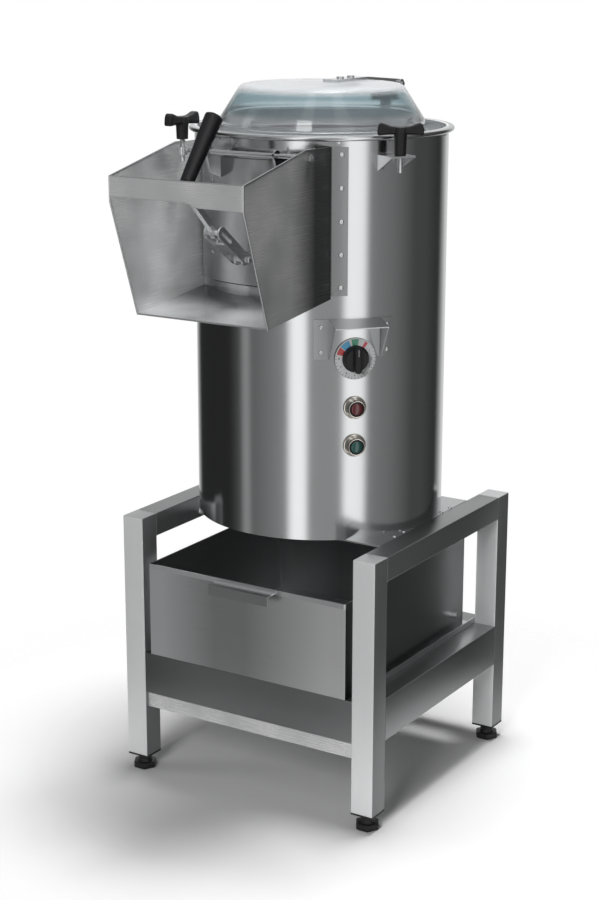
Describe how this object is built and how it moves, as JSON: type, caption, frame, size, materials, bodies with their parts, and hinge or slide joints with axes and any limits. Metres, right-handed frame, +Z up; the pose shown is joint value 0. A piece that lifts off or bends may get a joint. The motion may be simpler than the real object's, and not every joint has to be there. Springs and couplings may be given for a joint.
{
  "type": "electric_potato_peeler",
  "caption": "Stainless electric potato peeler: a tall round peeling drum on a square-tube stand, with a front chute and toggle door, a clear hinged lid, timer and buttons, and a starch box.",
  "frame": {"origin": "bottom centre of the whole object's bounding box", "axes": "+X to the machine's own left as seen from behind the chute (right in a front view), +Y away from the chute, +Z up"},
  "size_m": [0.489, 0.651, 1.1726],
  "materials": {
    "brushed_sheet": "satin brushed stainless sheet and tube",
    "bright_steel": "turned bright steel",
    "black_plastic": "matt black moulded plastic",
    "abrasive": "grit-faced moulded lining",
    "black_rubber": "black rubber",
    "clear_plastic": "clear, faintly blue moulded sheet",
    "motor_paint": "smooth dark paint",
    "cast_iron": "machined cast iron",
    "dial_print": "printed white dial",
    "pale_plastic": "pale moulded plastic",
    "bezel_chrome": "polished chrome",
    "red_lens": "clear red moulding",
    "green_lens": "clear green moulding"
  },
  "bodies": {
    "machine": {"posts": "brushed_sheet", "top_rails": "brushed_sheet", "front_rail": "brushed_sheet", "rear_rail": "brushed_sheet", "left_rail": "brushed_sheet", "right_rail": "brushed_sheet", "front_strip": "brushed_sheet", "cross_members": "brushed_sheet", "base_plate": "brushed_sheet", "plate_screws": "bright_steel", "post_plugs": "black_plastic", "box_runners": "brushed_sheet", "drum_shell": "brushed_sheet", "rim_ring": "brushed_sheet", "chamber_floor": "brushed_sheet", "abrasive_lining": "abrasive", "bearing_housing": "cast_iron", "motor": "motor_paint", "motor_stand": "brushed_sheet", "v_belt": "black_rubber", "pulp_pipe": "brushed_sheet", "water_inlet": "bright_steel", "cable_gland": "black_plastic", "chute_walls": "brushed_sheet", "chute_floor": "brushed_sheet", "chute_bar": "brushed_sheet", "chute_screws": "bright_steel", "door_rod": "bright_steel", "door_seal": "black_rubber", "lever_bracket": "brushed_sheet", "lid_bracket": "brushed_sheet", "clamp_brackets": "brushed_sheet", "dial_hood": "brushed_sheet", "dial_plate": "dial_print", "timer_body": "pale_plastic", "button_bezels": "bezel_chrome", "switch_blocks": "black_plastic"},
    "lid": {"lid_dome": "clear_plastic", "lid_strap": "brushed_sheet", "lid_bolts": "bright_steel"},
    "door": {"discharge_door": "brushed_sheet", "door_liner": "abrasive", "door_ears": "brushed_sheet"},
    "link": {"toggle_link": "brushed_sheet"},
    "lever": {"lever_arm": "bright_steel", "lever_grip": "black_plastic"},
    "knob_right": {"clamp_knob_right": "black_plastic"},
    "knob_left": {"clamp_knob_left": "black_plastic"},
    "timer": {"timer_knob": "black_plastic"},
    "stop": {"stop_button": "red_lens"},
    "start": {"start_button": "green_lens"},
    "box": {"starch_box": "brushed_sheet"},
    "disc": {"abrasive_disc": "abrasive", "main_shaft": "bright_steel", "big_pulley": "cast_iron"},
    "motor_rotor": {"motor_pulley": "cast_iron"},
    "foot_front_left": {"foot_front_left": "black_plastic"},
    "foot_front_right": {"foot_front_right": "black_plastic"},
    "foot_rear_left": {"foot_rear_left": "black_plastic"},
    "foot_rear_right": {"foot_rear_right": "black_plastic"}
  },
  "joints": [
    {"name": "lid_hinge", "type": "hinge", "parent": "machine", "child": "lid", "pos_m": [0, 0.3175, 1.1521], "axis": [-1, 0, 0], "range_deg": [0, 105]},
    {"name": "door_hinge", "type": "hinge", "parent": "machine", "child": "door", "pos_m": [0, -0.1485, 1.072], "axis": [-1, 0, 0], "range_deg": [0, 40]},
    {"name": "lever_pivot", "type": "hinge", "parent": "machine", "child": "lever", "pos_m": [0, -0.3015, 1.034], "axis": [1, 0, 0], "range_deg": [0, 32]},
    {"name": "link_pivot", "type": "hinge", "parent": "door", "child": "link", "pos_m": [0, -0.1525, 0.91], "axis": [-1, 0, 0], "range_deg": [0, 58.1]},
    {"name": "knob_right_turn", "type": "hinge", "parent": "machine", "child": "knob_right", "pos_m": [0.20793, -0.02606, 1.072], "axis": [0, 0, 1], "range_deg": [0, 720]},
    {"name": "knob_left_turn", "type": "hinge", "parent": "machine", "child": "knob_left", "pos_m": [-0.104, -0.1585, 1.09], "axis": [0, 0, 1], "range_deg": [0, 720]},
    {"name": "timer_turn", "type": "hinge", "parent": "machine", "child": "timer", "pos_m": [0.14979, -0.05765, 0.754], "axis": [-0.7254, 0.6884, 0], "range_deg": [0, 300]},
    {"name": "stop_press", "type": "slide", "parent": "machine", "child": "stop", "axis": [-0.7254, 0.6884, 0], "range_m": [0, 0.004], "stiffness_N_per_m": 400},
    {"name": "start_press", "type": "slide", "parent": "machine", "child": "start", "axis": [-0.7254, 0.6884, 0], "range_m": [0, 0.004], "stiffness_N_per_m": 400},
    {"name": "box_slide", "type": "slide", "parent": "machine", "child": "box", "axis": [0, -1, 0], "range_m": [0, 0.3]},
    {"name": "disc_turn", "type": "hinge", "parent": "machine", "child": "disc", "pos_m": [0, 0.0845, 0.856], "axis": [0, 0, 1], "continuous": true},
    {"name": "motor_turn", "type": "hinge", "parent": "machine", "child": "motor_rotor", "pos_m": [0.08768, 0.17218, 0.718], "axis": [0, 0, 1], "continuous": true},
    {"name": "foot_front_left_turn", "type": "hinge", "parent": "machine", "child": "foot_front_left", "pos_m": [-0.2235, -0.1305, 0.005], "axis": [0, 0, 1], "range_deg": [0, 360]},
    {"name": "foot_front_right_turn", "type": "hinge", "parent": "machine", "child": "foot_front_right", "pos_m": [0.2235, -0.1305, 0.005], "axis": [0, 0, 1], "range_deg": [0, 360]},
    {"name": "foot_rear_left_turn", "type": "hinge", "parent": "machine", "child": "foot_rear_left", "pos_m": [-0.2235, 0.2995, 0.005], "axis": [0, 0, 1], "range_deg": [0, 360]},
    {"name": "foot_rear_right_turn", "type": "hinge", "parent": "machine", "child": "foot_rear_right", "pos_m": [0.2235, 0.2995, 0.005], "axis": [0, 0, 1], "range_deg": [0, 360]}
  ],
  "couplings": [
    {"joint": "lever_pivot", "follows": "door_hinge", "ratio": 0.8},
    {"joint": "link_pivot", "follows": "door_hinge", "ratio": 1.4525},
    {"joint": "motor_turn", "follows": "disc_turn", "ratio": 3}
  ]
}
